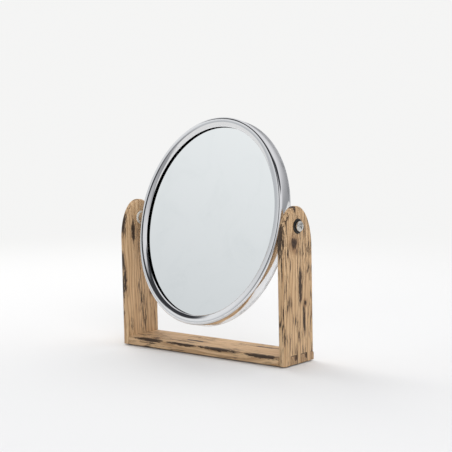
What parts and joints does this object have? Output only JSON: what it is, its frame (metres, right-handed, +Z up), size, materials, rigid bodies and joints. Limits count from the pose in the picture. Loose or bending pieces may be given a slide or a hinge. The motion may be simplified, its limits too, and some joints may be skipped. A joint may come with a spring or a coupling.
{
  "type": "countertop mirror",
  "caption": "Oval double-sided mirror in a polished band, turning end over end between the arched posts of a finger-jointed wooden stand.",
  "frame": {"origin": "middle of the stand's footprint, on the surface that the foot pads rest on", "axes": "+Z up, +X along the hinge to the right of the front glass, the front glass faces -Y and the mirror's top leans back to +Y"},
  "size_m": [0.2086, 0.0654, 0.2224],
  "materials": {
    "wood": "brushed, open grain with dark streaks",
    "polished_metal": "polished",
    "mirror_glass": "silvered glass",
    "plated_steel": "zinc plated",
    "dark_steel": "black",
    "nylon": "natural nylon",
    "moulded_plastic": "moulded",
    "foam": "closed-cell foam",
    "rubber": "soft"
  },
  "bodies": {
    "stand": {"base_board": "wood", "left_post": "wood", "right_post": "wood", "foot_pad_front_left": "rubber", "foot_pad_front_right": "rubber", "foot_pad_rear_left": "rubber", "foot_pad_rear_right": "rubber", "left_cup_washer": "dark_steel", "right_cup_washer": "dark_steel", "left_friction_washer": "nylon", "right_friction_washer": "nylon"},
    "mirror": {"mirror_rim": "polished_metal", "rear_bezel": "polished_metal", "core_frame": "moulded_plastic", "front_glass": "mirror_glass", "rear_glass": "mirror_glass", "front_pad": "foam", "rear_pad": "foam", "left_pivot_block": "plated_steel", "right_pivot_block": "plated_steel", "left_spacer": "polished_metal", "right_spacer": "polished_metal", "left_pivot_screw": "plated_steel", "right_pivot_screw": "plated_steel"}
  },
  "joints": [
    {"name": "mirror_tilt", "type": "hinge", "parent": "stand", "child": "mirror", "pos_m": [0, 0, 0.1252], "axis": [1, 0, 0], "continuous": true}
  ]
}
